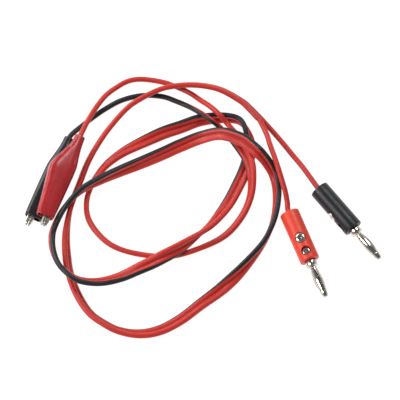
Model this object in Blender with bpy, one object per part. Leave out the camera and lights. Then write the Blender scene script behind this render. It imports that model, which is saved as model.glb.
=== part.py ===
"""Twin test lead: two sleeved alligator clips and two 4 mm banana plugs on one flat twin cable.

Table at z = 0.  Sizes are in millimetres and are turned into metres by MM where a mesh is made.
Clip frame: x runs to the jaw tips, y to the thumb lever, z along the hinge; the pivot is the origin.
Plug frame: x runs from the rear of the handle to the pin's tip, z is the way the screw heads face.
"""
import math

import bmesh
import bpy
from mathutils import Matrix, Vector

MM = 0.001

# cable
WIRE_DIA = 2.7
LOBE_SPACING = 4.0
SECTION_POINTS = 6
WEB_THICKNESS = 1.1
CORE_DIA = 1.3
JOINT_GAP = 0.3
MAX_STEP = 13.5
MAX_TURN = math.radians(24.0)
LEAD_STEP = 8.0

# clips
SHEET = 0.4
PIN_RADIUS = 0.8
BASE_HALF_WIDTH = 2.3
LEVER_HALF_WIDTH = 1.6
NOSE_HALF_WIDTH = 2.1
TIP_HALF_WIDTH = 1.6
JAW_TIP_X = 20.4
LEVER_END_X = -11.6
TOOTH_PITCH = 1.9
TOOTH_HEIGHT = 0.55
TEETH_START = 5.0
BITE_GAP = 0.3
EAR_RADIUS = 2.0
SLEEVE_WALL = 0.6
SLEEVE_TAIL_X = -29.8
CRIMP_START_X = -21.5
CORE_START_X = -22.0
CORE_END_X = -16.0
WIRE_END_X = -22.4

# plugs
BODY_LENGTH = 27.0
BODY_RADIUS = 4.925
WIRE_BORE_RADIUS = 1.7
INSERT_BORE_RADIUS = 2.9
INSERT_RADIUS = 2.6
INSERT_START = 9.4
COLLAR_RADIUS = 2.95
COLLAR_END = 30.4
PIN_CORE_RADIUS = 1.1
TIP_START = 43.9
PIN_END = 47.4
CLAMP_SCREW_X = 15.4
RETAINING_SCREW_X = 22.7
CLAMP_SCREW_BORE = 2.65
RETAINING_SCREW_BORE = 2.4
PLUG_WIRE_END = 9.0
# screws: head radius, head height, shank radius, shank end and head seat above the plug's axis
CLAMP_SCREW = (2.4, 1.8, 1.15, 0.85, 3.3)
RETAINING_SCREW = (2.1, 0.8, 1.0, 0.7, 2.95)

# where each clip and plug lies: position of its origin, heading of its x axis, roll about it
PLACES = {
    "red_clip": ((-70.9, 12.3, 10.8), -110.3, 160.0),
    "black_clip": ((-78.2, 14.55, 4.05), -113.6, -5.0),
    "red_plug": ((43.9, 1.7, 4.925), -68.2, 8.0),
    "black_plug": ((58.9, 14.5, 4.925), -51.3, 92.0),
}

# twin cable, plugs to clips: x, y, height of its underside, roll (0 = striped lobe on the left)
TWIN_ROUTE = (
    (29.5, 53, 0.6, 238), (25, 58, 0.8, 240), (20, 62.5, 1.3, 241), (10, 68, 2.2, 242),
    (0, 70, 3.1, 243), (-10, 70, 3.3, 245), (-20, 68, 3.3, 248), (-30, 63, 3, 251),
    (-37.5, 58, 1.5, 253), (-45.5, 49, 0, 254), (-52, 39, 0, 254), (-57, 29, 0, 254),
    (-60.5, 19, 0, 254), (-64, 9, 0, 257), (-66, 0, 0, 268), (-67, -10, 0, 284),
    (-66.5, -20, 0, 294), (-65, -29, 0, 296), (-61, -40, 0, 298), (-55, -49.5, 0, 297),
    (-48, -55, 0, 299), (-40, -59, 0, 304), (-30, -60.5, 0, 315), (-20, -58.5, 0, 325),
    (-10, -53, 0, 330), (0, -45, 0, 336), (10, -37, 0, 360), (20, -27.5, 0, 408),
    (30, -15, 0, 447), (35, -5, 0, 458), (37.5, 5, 0, 469), (38, 15, 0.2, 478),
    (36.5, 22.5, 1.6, 484), (33.5, 27, 5, 490), (29.5, 30.5, 9.4, 496), (25, 34.5, 10, 505),
    (20, 38.5, 9.6, 515), (10, 42.5, 7.4, 527), (0, 42.5, 2, 525), (-10, 39, 0, 517),
    (-20, 34, 0.2, 509), (-30, 29, 1, 498), (-40, 23.5, 3.6, 482), (-50, 17.5, 6.6, 465),
    (-60, 11, 8, 445), (-68, 2.5, 6, 433), (-73, -6, 1.6, 431), (-74, -12, 1, 435),
    (-73, -19, 2.8, 444), (-70, -26.5, 5.4, 457), (-65, -32, 6.8, 468), (-59, -35, 5.8, 481),
    (-50, -34.5, 2.3, 493), (-40, -32, 2.5, 507), (-30, -28, 5.3, 527), (-20, -23.5, 7, 556),
    (-10, -18, 6.9, 594), (0, -10, 5, 645), (6, -3.5, 2.2, 668), (13, 7, 0, 699),
    (17.5, 15.5, 0, 709), (22.5, 27, 0, 722), (24.5, 36, 0, 748), (24, 44, 0, 778),
    (20, 51.5, 0, 810), (12, 53.5, 0, 832), (0, 52.5, 0, 852), (-10, 49, 0, 872),
    (-20, 45.5, 0, 889), (-30, 40.5, 0, 914), (-40, 34.5, 0, 940), (-48, 27.5, 0, 957),
    (-54, 18.5, 0, 973), (-57, 9, 0, 985), (-56, -1, 0, 991), (-50, -10, 0, 998),
    (-42, -16, 0, 1005), (-30, -19.5, 0, 1010), (-15, -20.5, 0, 1010), (0, -16, 0, 1011),
    (12, -9.5, 0, 1014), (20, 0, 0, 1012), (24.5, 10, 0.8, 1009), (25.5, 19, 3.4, 1014),
    (24, 28.5, 4.7, 1033), (18.5, 39.5, 3, 1054), (13, 46.5, 3.4, 1064),
)

# single leads between the cable's split and the plug or clip: x, y, height of the underside
LEAD_ROUTES = {
    "red_plug": (
        (33, 43, 5.8), (34.5, 36.5, 8.4), (36.5, 30, 9.4), (38.5, 23.5, 9.2), (40.5, 17, 7.8),
        (42, 12, 6.2), (43, 7, 4.4),
    ),
    "black_plug": ((36, 47, 0.3), (41, 40.5, 0.9), (46, 33.5, 1.6), (51, 26.5, 2.7)),
    "red_clip": (
        (9, 53.5, 7), (4.5, 58.5, 5), (0, 63, 1.8), (-6, 68, 0.2), (-13, 71.5, 0), (-20, 74, 0),
        (-30, 75.5, 0), (-37, 74.5, 0), (-43, 71, 0), (-48, 66.5, 1), (-52, 60.5, 2.8),
        (-55, 54.5, 5), (-57.5, 48.5, 7.4),
    ),
    "black_clip": (
        (5.5, 50, 6.6), (1, 53.5, 6.4), (-3, 57, 4), (-7, 60.5, 0.8), (-13, 63.5, 0),
        (-20, 66, 0), (-30, 66.5, 0), (-40, 64, 0), (-48, 59.5, 0), (-54, 55, 0.2), (-60, 49.5, 1.2),
    ),
}


def clear_scene():
    """Remove every object."""
    for item in list(bpy.data.objects):
        bpy.data.objects.remove(item, do_unlink=True)


def material(name, colour, roughness, metallic=0.0):
    """A Principled material."""
    made = bpy.data.materials.new(name)
    made.use_nodes = True
    shader = made.node_tree.nodes["Principled BSDF"]
    shader.inputs["Base Color"].default_value = (*colour, 1.0)
    shader.inputs["Roughness"].default_value = roughness
    shader.inputs["Metallic"].default_value = metallic
    return made


def add_object(name, mesh_data, made_of, smooth=False):
    """Link a mesh as a named object with its material."""
    item = bpy.data.objects.new(name, mesh_data)
    bpy.context.scene.collection.objects.link(item)
    mesh_data.materials.append(made_of)
    for face in mesh_data.polygons:
        face.use_smooth = smooth
    return item


def loft(name, rings, made_of, closed=False, smooth=False):
    """Skin a list of equal rings of points (mm); the ends are capped, or joined when closed."""
    work = bmesh.new()
    loops = [[work.verts.new(Vector(point) * MM) for point in ring] for ring in rings]
    count = len(rings[0])
    spans = list(zip(loops, loops[1:]))
    if closed:
        spans.append((loops[-1], loops[0]))
    for first, second in spans:
        for k in range(count):
            nxt = (k + 1) % count
            work.faces.new((first[k], first[nxt], second[nxt], second[k]))
    if not closed:
        work.faces.new(loops[0])
        work.faces.new(loops[-1])
    bmesh.ops.recalc_face_normals(work, faces=work.faces)
    mesh_data = bpy.data.meshes.new(name)
    work.to_mesh(mesh_data)
    work.free()
    return add_object(name, mesh_data, made_of, smooth)


def turned(name, profile, made_of, axis="x", segments=20, closed=False):
    """Turn a profile of (along, radius) about an axis; a closed profile makes a bored body."""
    rings = []
    for along, radius in profile:
        ring = []
        for k in range(segments):
            turn = 2.0 * math.pi * (k + 0.5) / segments
            across = (radius * math.cos(turn), radius * math.sin(turn))
            ring.append((along, *across) if axis == "x" else (*across, along))
        rings.append(ring)
    return loft(name, rings, made_of, closed, True)


def cut(target, cutters):
    """Subtract each cutter from the target, then delete the cutters."""
    for cutter in cutters:
        cutter.hide_render = True
        cutter.display_type = "WIRE"
        step = target.modifiers.new("cut", "BOOLEAN")
        step.operation = "DIFFERENCE"
        step.solver = "EXACT"
        step.object = cutter
    bpy.context.view_layer.update()
    graph = bpy.context.evaluated_depsgraph_get()
    result = bpy.data.meshes.new_from_object(target.evaluated_get(graph))
    target.modifiers.clear()
    target.data = result
    for cutter in cutters:
        bpy.data.objects.remove(cutter, do_unlink=True)


def box(name, centre, size, made_of):
    """A plain box, used as a cutter."""
    x, y, z = (value / 2.0 for value in size)
    ring = [(-y, -z), (y, -z), (y, z), (-y, z)]
    rings = [[(centre[0] + side, centre[1] + a, centre[2] + b) for a, b in ring] for side in (-x, x)]
    return loft(name, rings, made_of)


def place_frame(place):
    """World matrix of a clip or plug, in metres."""
    position, heading, roll = place
    turn = Matrix.Rotation(math.radians(heading), 4, "Z") @ Matrix.Rotation(math.radians(roll), 4, "X")
    return Matrix.Translation(Vector(position) * MM) @ turn


def put(item, frame, offset=(0.0, 0.0, 0.0)):
    """Place an object in a frame; its own origin sits at the offset (mm)."""
    item.matrix_world = frame @ Matrix.Translation(Vector(offset) * MM)


# ---------------------------------------------------------------- cable

def smooth_route(points, per_span=12):
    """Catmull-Rom curve through the route points."""
    rows = [Vector(point) for point in points]
    ends = [2 * rows[0] - rows[1]] + rows + [2 * rows[-1] - rows[-2]]
    result = []
    for i in range(len(rows) - 1):
        before, start, stop, after = ends[i:i + 4]
        for k in range(per_span):
            t = k / per_span
            result.append(0.5 * (
                2 * start + (stop - before) * t
                + (2 * before - 5 * start + 4 * stop - after) * t * t
                + (3 * start - before - 3 * stop + after) * t ** 3
            ))
    result.append(rows[-1])
    return result


def thin_out(rows, max_step=MAX_STEP, max_turn=MAX_TURN):
    """Keep a row when the path has run or turned far enough since the last one kept."""
    kept = [rows[0]]
    last = 0
    for i in range(1, len(rows) - 1):
        run = (rows[i].to_3d() - rows[last].to_3d()).length
        here = (rows[i + 1] - rows[i]).to_3d()
        there = (rows[last + 1] - rows[last]).to_3d()
        if run > max_step or (run > WIRE_DIA and here.angle(there, 0.0) > max_turn):
            kept.append(rows[i])
            last = i
    kept.append(rows[-1])
    return kept


def twin_frames(rows):
    """Centre, lobe direction and side-to-top direction of the twin cable at each row."""
    frames = []
    for i, row in enumerate(rows):
        before = rows[max(0, i - 1)]
        after = rows[min(len(rows) - 1, i + 1)]
        along = Vector((after[0] - before[0], after[1] - before[1], 0.0)).normalized()
        left = Vector((-along.y, along.x, 0.0))
        up = Vector((0.0, 0.0, 1.0))
        roll = math.radians(row[3])
        rise = math.sqrt(math.sin(roll) ** 2 + 0.01)
        centre = Vector((row[0], row[1], max(row[2], 0.0) + WIRE_DIA / 2 + LOBE_SPACING / 2 * rise))
        wide = left * math.cos(roll) + up * math.sin(roll)
        thick = up * math.cos(roll) - left * math.sin(roll)
        frames.append((centre, wide, thick))
    return frames


def twin_section():
    """Outline of the twin cable: two round lobes and the web between them."""
    radius = WIRE_DIA / 2
    half = LOBE_SPACING / 2
    edge = math.degrees(math.asin(WEB_THICKNESS / WIRE_DIA))
    outline = []
    for side in (1, -1):
        for k in range(SECTION_POINTS):
            turn = math.radians(-180 + edge + (360 - 2 * edge) * k / (SECTION_POINTS - 1))
            outline.append((side * (half + radius * math.cos(turn)), side * radius * math.sin(turn)))
    return outline


def twin_cable(made_of):
    """The flat twin cable as one solid."""
    section = twin_section()
    rings = []
    for centre, wide, thick in twin_frames(thin_out(smooth_route(TWIN_ROUTE))):
        rings.append([centre + wide * a + thick * b for a, b in section])
    return loft("twin_cable", rings, made_of, smooth=True)


def split_point(at_plugs, striped):
    """Where a single lead leaves the end of the twin cable."""
    rows = smooth_route(TWIN_ROUTE)
    frames = twin_frames(rows)
    end, inner = (0, 1) if at_plugs else (-1, -2)
    centre, wide, _ = frames[end]
    outward = (centre - frames[inner][0]).normalized()
    side = 1 if striped else -1
    return centre + wide * (side * LOBE_SPACING / 2) + outward * JOINT_GAP * 1.5, outward


def lead_path(part):
    """Centre line of a single lead, from the cable's split into its plug or clip."""
    start, outward = split_point("plug" in part, "black" in part)
    path = [start, start + outward * (1.5 if "plug" in part else 3.0)]
    radius = Vector((0.0, 0.0, WIRE_DIA / 2))
    path += [Vector(point) + radius for point in LEAD_ROUTES[part]]
    frame = place_frame(PLACES[part])
    ends = (-1.5, 4.0, PLUG_WIRE_END) if "plug" in part else (-32.0, -28.0, WIRE_END_X)
    path += [frame @ Vector((x * MM, 0.0, 0.0)) / MM for x in ends]
    result = smooth_route(path, 8)
    for point in result:
        point.z = max(point.z, WIRE_DIA / 2)
    return result


def tube(name, path, diameter, made_of, resolution=2):
    """A round tube along a poly line, with filled ends."""
    curve = bpy.data.curves.new(name, "CURVE")
    curve.dimensions = "3D"
    curve.bevel_depth = diameter / 2 * MM
    curve.bevel_resolution = resolution
    curve.use_fill_caps = True
    spline = curve.splines.new("POLY")
    spline.points.add(len(path) - 1)
    for point, place in zip(spline.points, path):
        point.co = (*(place * MM), 1.0)
    holder = bpy.data.objects.new(name + "_curve", curve)
    bpy.context.scene.collection.objects.link(holder)
    bpy.context.view_layer.update()
    graph = bpy.context.evaluated_depsgraph_get()
    mesh_data = bpy.data.meshes.new_from_object(holder.evaluated_get(graph))
    bpy.data.objects.remove(holder, do_unlink=True)
    work = bmesh.new()
    work.from_mesh(mesh_data)
    bmesh.ops.remove_doubles(work, verts=work.verts, dist=0.00001)
    bmesh.ops.recalc_face_normals(work, faces=work.faces)
    work.to_mesh(mesh_data)
    work.free()
    return add_object(name, mesh_data, made_of, True)


# ---------------------------------------------------------------- clips

def tooth(x):
    """Height of the zigzag bite line at x."""
    if x < TEETH_START:
        return 0.0
    share = ((x - TEETH_START) / TOOTH_PITCH) % 1.0
    return TOOTH_HEIGHT * (1.0 - abs(2.0 * share - 1.0)) - TOOTH_HEIGHT / 2


def along(table, x):
    """Straight-line reading of a table of (x, value)."""
    if x <= table[0][0]:
        return table[0][1]
    for (x0, v0), (x1, v1) in zip(table, table[1:]):
        if x <= x1:
            return v0 + (v1 - v0) * (x - x0) / (x1 - x0)
    return table[-1][1]


def jaw_stations(start):
    """x positions of a jaw's sections: plain ones behind, and two for each tooth in front."""
    behind = [x for x in (CRIMP_START_X, -16.0, -14.0, -11.6, -9.5, -6.0, -4.0) if x >= start]
    pivot = [EAR_RADIUS * math.cos(math.pi * k / 8) * -1 for k in range(9)]
    teeth = []
    x = TEETH_START
    while x < JAW_TIP_X - 0.4:
        teeth.append(x)
        x += TOOTH_PITCH / 2
    return behind + [-2.6] + pivot + [2.6, 4.2] + teeth + [JAW_TIP_X]


def channel(name, stations, floor, edge, half_width, made_of, side):
    """A folded channel: its floor at side * floor(x), its walls reaching to edge(x)."""
    rings = []
    for x in stations:
        outer = half_width(x)
        inner = outer - SHEET
        low = side * floor(x)
        top = edge(x)
        inside = low - side * SHEET
        rings.append([
            (x, low, -outer), (x, top, -outer), (x, top, -inner), (x, inside, -inner),
            (x, inside, inner), (x, top, inner), (x, top, outer), (x, low, outer),
        ])
    return loft(name, rings, made_of)


def ear(x):
    """Half-round ear height at x."""
    return math.sqrt(max(0.0, EAR_RADIUS ** 2 - x * x))


def base_jaw(name, made_of):
    """Fixed jaw: crimp tail, pivot ears and lower teeth in one folded channel."""
    floor = ((CRIMP_START_X, 1.3), (-14.0, 1.5), (-6.0, 2.6), (6.0, 2.6), (JAW_TIP_X, 1.6))
    width = (
        (CRIMP_START_X, 1.4), (-14.0, 1.6), (-6.0, BASE_HALF_WIDTH), (2.6, BASE_HALF_WIDTH),
        (6.0, NOSE_HALF_WIDTH), (JAW_TIP_X, TIP_HALF_WIDTH),
    )
    wall = (
        (CRIMP_START_X, 0.9), (-16.0, 0.9), (-14.0, -0.6), (-11.6, -1.2), (-6.0, -1.6),
        (-2.6, -1.2), (2.6, -0.6), (4.2, -0.3),
    )

    def edge(x):
        if abs(x) <= EAR_RADIUS:
            return max(along(wall, x), ear(x))
        if x >= TEETH_START:
            return tooth(x) - BITE_GAP / 2 - 0.1
        return along(wall, x)

    item = channel(
        name, jaw_stations(CRIMP_START_X), lambda x: along(floor, x), edge,
        lambda x: along(width, x), made_of, -1,
    )
    cut(item, [turned("pin_hole", ((-4.0, PIN_RADIUS + 0.12), (4.0, PIN_RADIUS + 0.12)), made_of, "z", 12)])
    return item


def lever_jaw(name, made_of):
    """Moving jaw: upper teeth in front, thumb lever behind the pivot."""
    roof = ((LEVER_END_X, 6.1), (-9.5, 6.1), (-4.0, 4.4), (0.0, 3.0), (6.0, 2.6), (JAW_TIP_X, 1.6))
    width = (
        (LEVER_END_X, LEVER_HALF_WIDTH), (2.6, LEVER_HALF_WIDTH), (6.0, NOSE_HALF_WIDTH),
        (JAW_TIP_X, TIP_HALF_WIDTH),
    )
    wall = ((LEVER_END_X, 5.2), (-9.5, 4.9), (-4.0, 2.6), (-2.6, 1.4), (2.6, 0.9), (4.2, 0.5))

    def edge(x):
        if abs(x) <= EAR_RADIUS:
            return min(along(wall, x), -ear(x))
        if x >= TEETH_START:
            return tooth(x) + BITE_GAP / 2 + 0.1
        return along(wall, x)

    item = channel(
        name, jaw_stations(LEVER_END_X), lambda x: along(roof, x), edge,
        lambda x: along(width, x), made_of, 1,
    )
    cut(item, [turned("pin_hole", ((-4.0, PIN_RADIUS + 0.12), (4.0, PIN_RADIUS + 0.12)), made_of, "z", 12)])
    return item


def pivot_pin(name, made_of):
    """Rivet through the ears, headed at both ends."""
    under = BASE_HALF_WIDTH + 0.1
    top = under + 0.25
    profile = (
        (-top, 0.9), (-top + 0.1, 1.3), (-under, 1.3), (-under, PIN_RADIUS),
        (under, PIN_RADIUS), (under, 1.3), (top - 0.1, 1.3), (top, 0.9),
    )
    return turned(name, profile, made_of, "z", 12)


def torsion_spring(name, made_of):
    """Coil round the pin; one leg lies on the base, the other under the lever."""
    radius, wire, turns, steps = 1.3, 0.4, 3.5, 12
    half = 0.85
    path = [Vector((-7.0, -1.9, -half)), Vector((-3.0, -1.85, -half))]
    count = int(turns * steps)
    for k in range(count + 1):
        turn = -math.pi / 2 + 2 * math.pi * k / steps
        path.append(Vector((radius * math.cos(turn), radius * math.sin(turn), -half + 2 * half * k / count)))
    path += [Vector((-3.0, 2.7, half)), Vector((-7.0, 4.6, half))]
    return tube(name, path, wire, made_of, 1)


def sleeve_section(x, low, high, half, power, segments=20):
    """Rounded-box outline of the sleeve at x."""
    centre = (low + high) / 2
    reach = (high - low) / 2
    ring = []
    for k in range(segments):
        turn = 2 * math.pi * (k + 0.5) / segments
        c, s = math.cos(turn), math.sin(turn)
        y = centre + reach * math.copysign(abs(c) ** (2 / power), c)
        z = half * math.copysign(abs(s) ** (2 / power), s)
        ring.append((x, y, z))
    return ring


def sleeve(name, made_of):
    """Soft sleeve over the whole clip, open at the wire and at the jaws."""
    stations = (
        (-29.8, -2.65, 2.65, 2.5, 2.2), (-27.0, -2.7, 2.8, 2.5, 2.3), (-23.5, -2.9, 3.6, 2.7, 2.6),
        (-19.0, -3.5, 5.5, 3.0, 3.0), (-14.0, -4.3, 7.7, 3.4, 3.4), (-10.6, -4.4, 8.7, 3.6, 3.6),
        (-8.0, -4.4, 8.6, 3.65, 3.6), (-2.0, -4.2, 7.8, 3.65, 3.6), (5.0, -3.95, 6.8, 3.5, 3.6),
        (11.0, -3.7, 6.05, 3.35, 3.4), (16.0, -3.4, 5.4, 3.2, 3.2),
    )
    wall = SLEEVE_WALL
    rings = [sleeve_section(*station) for station in stations]
    for x, low, high, half, power in reversed(stations):
        here = 0.85 if x < -26.0 else wall
        rings.append(sleeve_section(x, low + here, high - here, half - here, power))
    return loft(name, rings, made_of, closed=True, smooth=True)


def clip(colour, looks):
    """All the pieces of one clip."""
    name = colour + "_clip"
    frame = place_frame(PLACES[name])
    pieces = (
        base_jaw(name + "_base_jaw", looks["steel"]),
        lever_jaw(name + "_lever_jaw", looks["steel"]),
        pivot_pin(name + "_pivot_pin", looks["pin"]),
        torsion_spring(name + "_torsion_spring", looks["spring"]),
        sleeve(name + "_sleeve", looks[colour + "_sleeve"]),
        turned(name + "_copper_core", ((CORE_START_X, 0.6), (CORE_END_X, 0.6)), looks["copper"], "x", 12),
    )
    for piece in pieces:
        put(piece, frame)


# ---------------------------------------------------------------- plugs

def plug_body(name, made_of):
    """Plastic handle: bored for wire and insert, with two screw holes on one side."""
    edge = 0.45
    profile = (
        (0.0, WIRE_BORE_RADIUS), (0.0, BODY_RADIUS - edge), (0.13, BODY_RADIUS - 0.13), (edge, BODY_RADIUS),
        (BODY_LENGTH - edge, BODY_RADIUS), (BODY_LENGTH - 0.13, BODY_RADIUS - 0.13),
        (BODY_LENGTH, BODY_RADIUS - edge), (BODY_LENGTH, INSERT_BORE_RADIUS),
        (INSERT_START - 0.3, INSERT_BORE_RADIUS), (INSERT_START - 0.3, WIRE_BORE_RADIUS),
    )
    item = turned(name, profile, made_of, "x", 28, closed=True)
    holes = []
    for x, radius in ((CLAMP_SCREW_X, CLAMP_SCREW_BORE), (RETAINING_SCREW_X, RETAINING_SCREW_BORE)):
        hole = turned("screw_hole", ((1.5, radius), (6.5, radius)), made_of, "z", 18)
        hole.location.x = x * MM
        holes.append(hole)
    cut(item, holes)
    return item


def plug_insert(name, made_of):
    """Plated core: bored end for the wire, collar, and the pin's rod with its rounded tip."""
    profile = [
        (17.5, 0.05), (17.5, 1.0), (INSERT_START, 1.0), (INSERT_START, INSERT_RADIUS), (27.3, INSERT_RADIUS),
        (27.3, COLLAR_RADIUS - 0.2), (27.5, COLLAR_RADIUS), (COLLAR_END - 0.3, COLLAR_RADIUS),
        (COLLAR_END, COLLAR_RADIUS - 0.3), (COLLAR_END, PIN_CORE_RADIUS), (TIP_START, PIN_CORE_RADIUS),
        (TIP_START, 1.75), (44.9, 1.78), (46.0, 1.6), (46.9, 1.15), (PIN_END, 0.35),
    ]
    item = turned(name, profile, made_of, "x", 20)
    holes = []
    for x, radius, low in ((CLAMP_SCREW_X, 1.3, -0.2), (RETAINING_SCREW_X, 1.15, 0.4)):
        hole = turned("thread_hole", ((low, radius), (3.5, radius)), made_of, "z", 14)
        hole.location.x = x * MM
        holes.append(hole)
    cut(item, holes)
    return item


def spring_basket(name, made_of):
    """Leaf springs bowed out round the pin, joined by a ring at each end."""
    outer = ((31.0, 1.7), (32.5, 1.8), (34.5, 2.12), (37.0, 2.33), (39.5, 2.3), (42.0, 2.05), (43.5, 1.85))
    inner = [(x, radius - 0.35) for x, radius in reversed(outer)]
    item = turned(name, outer + tuple(inner), made_of, "x", 20, closed=True)
    slots = [
        box("slot_a", (37.2, 0.0, 0.0), (9.6, 6.0, 0.5), made_of),
        box("slot_b", (37.2, 0.0, 0.0), (9.6, 0.5, 6.0), made_of),
    ]
    cut(item, slots)
    return item


def screw(name, made_of, head_radius, head, shank_radius, shank_end, seat):
    """Cross-head screw along z; the seat is the underside of its head."""
    top = seat + head
    profile = (
        (shank_end, shank_radius - 0.3), (shank_end + 0.3, shank_radius), (seat, shank_radius),
        (seat, head_radius), (top - 0.5, head_radius), (top - 0.15, head_radius - 0.35),
        (top, head_radius - 0.9),
    )
    item = turned(name, profile, made_of, "z", 16)
    reach = head_radius * 1.15
    cross = [
        box("cross_a", (0.0, 0.0, top), (reach, 0.55, 1.5), made_of),
        box("cross_b", (0.0, 0.0, top), (0.55, reach, 1.5), made_of),
    ]
    cut(item, cross)
    return item


def plug(colour, looks):
    """All the pieces of one plug."""
    name = colour + "_plug"
    frame = place_frame(PLACES[name])
    pieces = (
        plug_body(name + "_body", looks[colour + "_plastic"]),
        plug_insert(name + "_insert", looks["nickel"]),
        spring_basket(name + "_spring_basket", looks["basket"]),
        turned(name + "_copper_core", ((PLUG_WIRE_END + 0.3, 0.6), (16.8, 0.6)), looks["copper"], "x", 12),
    )
    for piece in pieces:
        put(piece, frame)
    clamp = screw(name + "_clamp_screw", looks["screw"], *CLAMP_SCREW)
    put(clamp, frame, (CLAMP_SCREW_X, 0.0, 0.0))
    retaining = screw(name + "_retaining_screw", looks["screw"], *RETAINING_SCREW)
    put(retaining, frame, (RETAINING_SCREW_X, 0.0, 0.0))


def build():
    """Make the whole lead."""
    clear_scene()
    looks = {
        "steel": material("clip_steel", (0.72, 0.70, 0.65), 0.28, 1.0),
        "pin": material("pin_steel", (0.66, 0.65, 0.62), 0.32, 1.0),
        "spring": material("spring_steel", (0.45, 0.45, 0.46), 0.35, 1.0),
        "copper": material("copper", (0.80, 0.42, 0.25), 0.35, 1.0),
        "nickel": material("nickel_plate", (0.78, 0.75, 0.69), 0.18, 1.0),
        "basket": material("basket_nickel", (0.80, 0.77, 0.70), 0.2, 1.0),
        "screw": material("screw_nickel", (0.80, 0.77, 0.72), 0.2, 1.0),
        "red_plastic": material("red_plastic", (0.80, 0.055, 0.03), 0.35),
        "black_plastic": material("black_plastic", (0.022, 0.022, 0.025), 0.4),
        "red_sleeve": material("red_sleeve_vinyl", (0.42, 0.02, 0.03), 0.3),
        "black_sleeve": material("black_sleeve_vinyl", (0.022, 0.023, 0.026), 0.32),
        "cable": material("cable_vinyl", (0.50, 0.035, 0.025), 0.35),
        "black_lead": material("black_lead_vinyl", (0.025, 0.025, 0.028), 0.35),
    }
    for colour in ("red", "black"):
        clip(colour, looks)
        plug(colour, looks)
    twin_cable(looks["cable"])
    for part in LEAD_ROUTES:
        look = looks["black_lead"] if part == "black_clip" else looks["cable"]
        path = thin_out(lead_path(part), LEAD_STEP)
        tube(part + "_lead", path, WIRE_DIA, look)


build()
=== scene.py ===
"""Looks of the twin test lead: fine cable, sleeves, plugs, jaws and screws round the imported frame.

Lists of points are in millimetres, as in the CAD source, and MM turns them into metres.
Clip frame: x runs to the jaw tips, y to the thumb lever, z along the hinge; the pivot is the origin.
Plug frame: x runs from the rear of the handle to the pin's tip, z is the way the screw heads face.
"""

import math

import bmesh
import bpy
from mathutils import Matrix, Vector


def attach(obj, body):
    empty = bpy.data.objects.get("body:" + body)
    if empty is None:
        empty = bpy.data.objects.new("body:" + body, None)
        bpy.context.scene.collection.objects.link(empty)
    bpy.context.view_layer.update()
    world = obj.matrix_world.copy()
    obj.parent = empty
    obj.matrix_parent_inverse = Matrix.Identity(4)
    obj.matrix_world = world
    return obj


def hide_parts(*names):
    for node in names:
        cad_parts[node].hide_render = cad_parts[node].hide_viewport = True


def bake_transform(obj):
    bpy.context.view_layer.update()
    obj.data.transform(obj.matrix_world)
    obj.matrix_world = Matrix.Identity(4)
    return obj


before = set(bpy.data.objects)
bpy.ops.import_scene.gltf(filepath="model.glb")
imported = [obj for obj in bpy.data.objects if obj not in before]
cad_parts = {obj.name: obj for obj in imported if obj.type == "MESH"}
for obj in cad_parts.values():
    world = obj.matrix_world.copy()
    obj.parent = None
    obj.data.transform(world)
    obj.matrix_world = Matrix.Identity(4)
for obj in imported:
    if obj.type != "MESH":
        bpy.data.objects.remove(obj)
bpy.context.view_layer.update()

MM = 0.001
ROOT = "lead"

# cable
WIRE_DIA = 2.7
LOBE_SPACING = 4.0
LOBE_STEP = 15
STRIPE_HALF = 90
LEAD_OVERLAP = 1.6
# straight run of a lead past the cable's split, at the plugs and at the clips
PLUG_LEAD_RUN = 1.5
CLIP_LEAD_RUN = 3.0
LEAD_SEGMENTS = 36
# curve points between two route points: along the cable, at its split and along a lead
CABLE_STEPS = 9
SPLIT_STEPS = 12
LEAD_STEPS = 8
# inner shoulder of a lobe down to the middle of the groove: across, height, strength of the shade painted
# into the groove
SHOULDER = ((1.5, 1.3, 0.0), (1.0, 1.16, 0.0), (0.6, 0.95, 0.3), (0.25, 0.71, 0.8), (0.0, 0.58, 1.0))

# clips
SHEET = 0.4
PIN_RADIUS = 0.8
EAR_RADIUS = 2.0
BASE_HALF_WIDTH = 2.3
LEVER_HALF_WIDTH = 1.6
NOSE_HALF_WIDTH = 2.1
TIP_HALF_WIDTH = 1.6
JAW_TIP_X = 20.4
LEVER_END_X = -11.6
CRIMP_START_X = -21.5
WIRE_END_X = -22.4
CORE_END_X = -16.0
PIVOT_CLEAR = 2.6
SECTION_PITCH = 0.9
TOOTH_PITCH = 1.9
TOOTH_HEIGHT = 0.55
TEETH_START = 5.0
BITE_GAP = 0.3
SLEEVE_WALL = 0.6

# plugs
BODY_LENGTH = 27.0
BODY_RADIUS = 4.925
WIRE_BORE_RADIUS = 1.7
INSERT_BORE_RADIUS = 2.9
INSERT_RADIUS = 2.6
INSERT_START = 9.4
COLLAR_RADIUS = 2.95
COLLAR_END = 30.4
TIP_START = 43.9
CLAMP_SCREW_X = 15.4
RETAINING_SCREW_X = 22.7
PLUG_WIRE_END = 9.0
PLUG_CORE_END = 16.8
CLAMP_SCREW_BORE = 2.65
RETAINING_SCREW_BORE = 2.4
# screws: head radius, head height, shank radius, shank end and head seat above the plug's axis
CLAMP_SCREW = (2.4, 1.8, 1.15, 0.85, 3.3)
RETAINING_SCREW = (2.1, 0.8, 1.0, 0.7, 2.95)
CLAMP_SCREW_TURN = 24.0
RETAINING_SCREW_TURN = -14.0

# position of each origin, heading of its x axis, roll about it
PLACES = {
    "red_clip": ((-70.9, 12.3, 10.8), -110.3, 160.0),
    "black_clip": ((-78.2, 14.55, 4.05), -113.6, -5.0),
    "red_plug": ((43.9, 1.7, 4.925), -68.2, 8.0),
    "black_plug": ((58.9, 14.5, 4.925), -51.3, 92.0),
}

# turn of each pin's leaf springs about the pin
LEAF_TURN = {"red_plug": -14.0, "black_plug": -47.0}

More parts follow.
